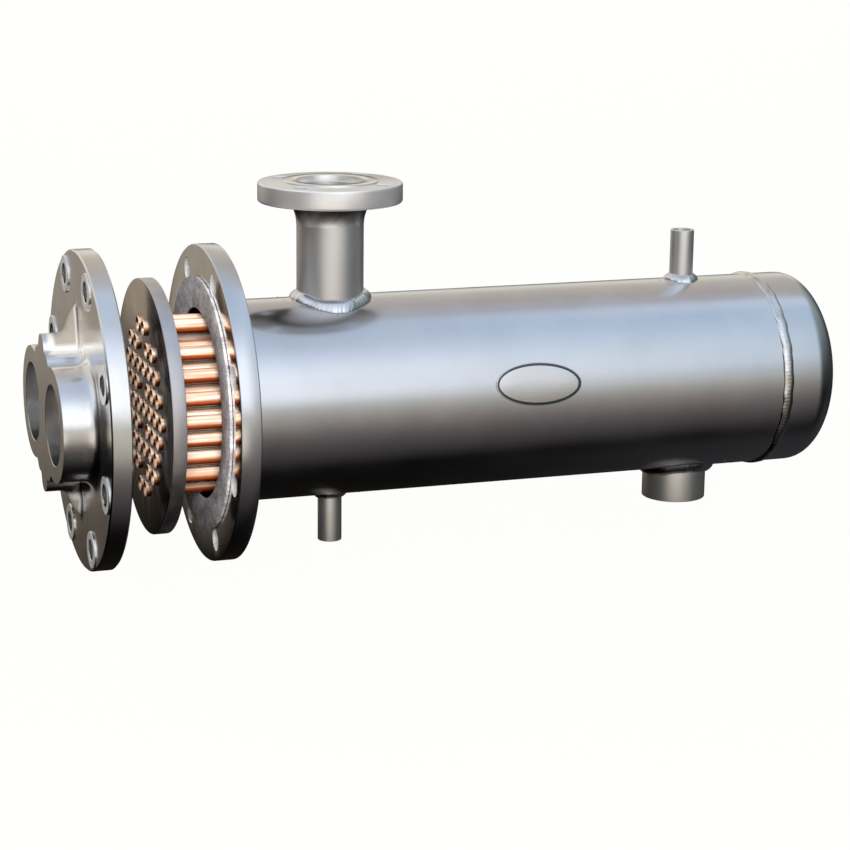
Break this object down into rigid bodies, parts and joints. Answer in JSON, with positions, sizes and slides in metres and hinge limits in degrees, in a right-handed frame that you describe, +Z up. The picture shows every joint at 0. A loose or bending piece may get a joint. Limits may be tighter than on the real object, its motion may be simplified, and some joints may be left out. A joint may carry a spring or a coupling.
{
  "type": "hydraulic oil cooler",
  "caption": "Shell-and-tube oil cooler with a flanged shell, dished head, pipe nozzles, a copper U-tube bundle that slides out, and a two-port cast bonnet.",
  "frame": {"origin": "on the shell's axis, halfway along the barrel, where a support band would hold it", "axes": "+X along the shell from the bonnet to the dished head, +Z up towards the flanged inlet, +Y away from the name plate"},
  "size_m": [0.9053, 0.343, 0.4086],
  "materials": {
    "shell_paint": "satin silver",
    "weld_metal": "rippled weld bead",
    "plate_metal": "satin, dark rim",
    "gasket_fibre": "matte pressed fibre",
    "sheet_steel": "turned, dulled",
    "tube_copper": "drawn copper",
    "bonnet_iron": "silver painted casting"
  },
  "bodies": {
    "shell": {"shell_barrel": "shell_paint", "shell_flange": "shell_paint", "dished_head": "shell_paint", "inlet_pipe": "shell_paint", "inlet_flange": "shell_paint", "vent_pipe": "shell_paint", "drain_pipe": "shell_paint", "outlet_pipe": "shell_paint", "flange_weld": "weld_metal", "head_weld": "weld_metal", "inlet_weld": "weld_metal", "inlet_flange_weld": "weld_metal", "vent_weld": "weld_metal", "drain_weld": "weld_metal", "outlet_weld": "weld_metal", "name_plate": "plate_metal", "shell_gasket": "gasket_fibre"},
    "tube_bundle": {"tube_sheet": "sheet_steel", "baffle_1": "sheet_steel", "baffle_2": "sheet_steel", "baffle_3": "sheet_steel", "tie_rod_1": "sheet_steel", "tie_rod_2": "sheet_steel", "tie_rod_nut_1": "sheet_steel", "tie_rod_nut_2": "sheet_steel", "u_tube_01": "tube_copper", "u_tube_02": "tube_copper", "u_tube_03": "tube_copper", "u_tube_04": "tube_copper", "u_tube_05": "tube_copper", "u_tube_06": "tube_copper", "u_tube_07": "tube_copper", "u_tube_08": "tube_copper", "u_tube_09": "tube_copper", "u_tube_10": "tube_copper", "u_tube_11": "tube_copper", "u_tube_12": "tube_copper", "u_tube_13": "tube_copper", "u_tube_14": "tube_copper", "u_tube_15": "tube_copper", "u_tube_16": "tube_copper", "u_tube_17": "tube_copper", "u_tube_18": "tube_copper", "u_tube_19": "tube_copper", "u_tube_20": "tube_copper", "u_tube_21": "tube_copper", "u_tube_22": "tube_copper"},
    "bonnet": {"bonnet_casting": "bonnet_iron", "bonnet_gasket": "gasket_fibre"}
  },
  "joints": [
    {"name": "bundle_slide", "type": "slide", "parent": "shell", "child": "tube_bundle", "axis": [1, 0, 0], "range_m": [-0.36, 0.0444]},
    {"name": "bonnet_slide", "type": "slide", "parent": "tube_bundle", "child": "bonnet", "axis": [1, 0, 0], "range_m": [-0.15, 0.0448]}
  ]
}
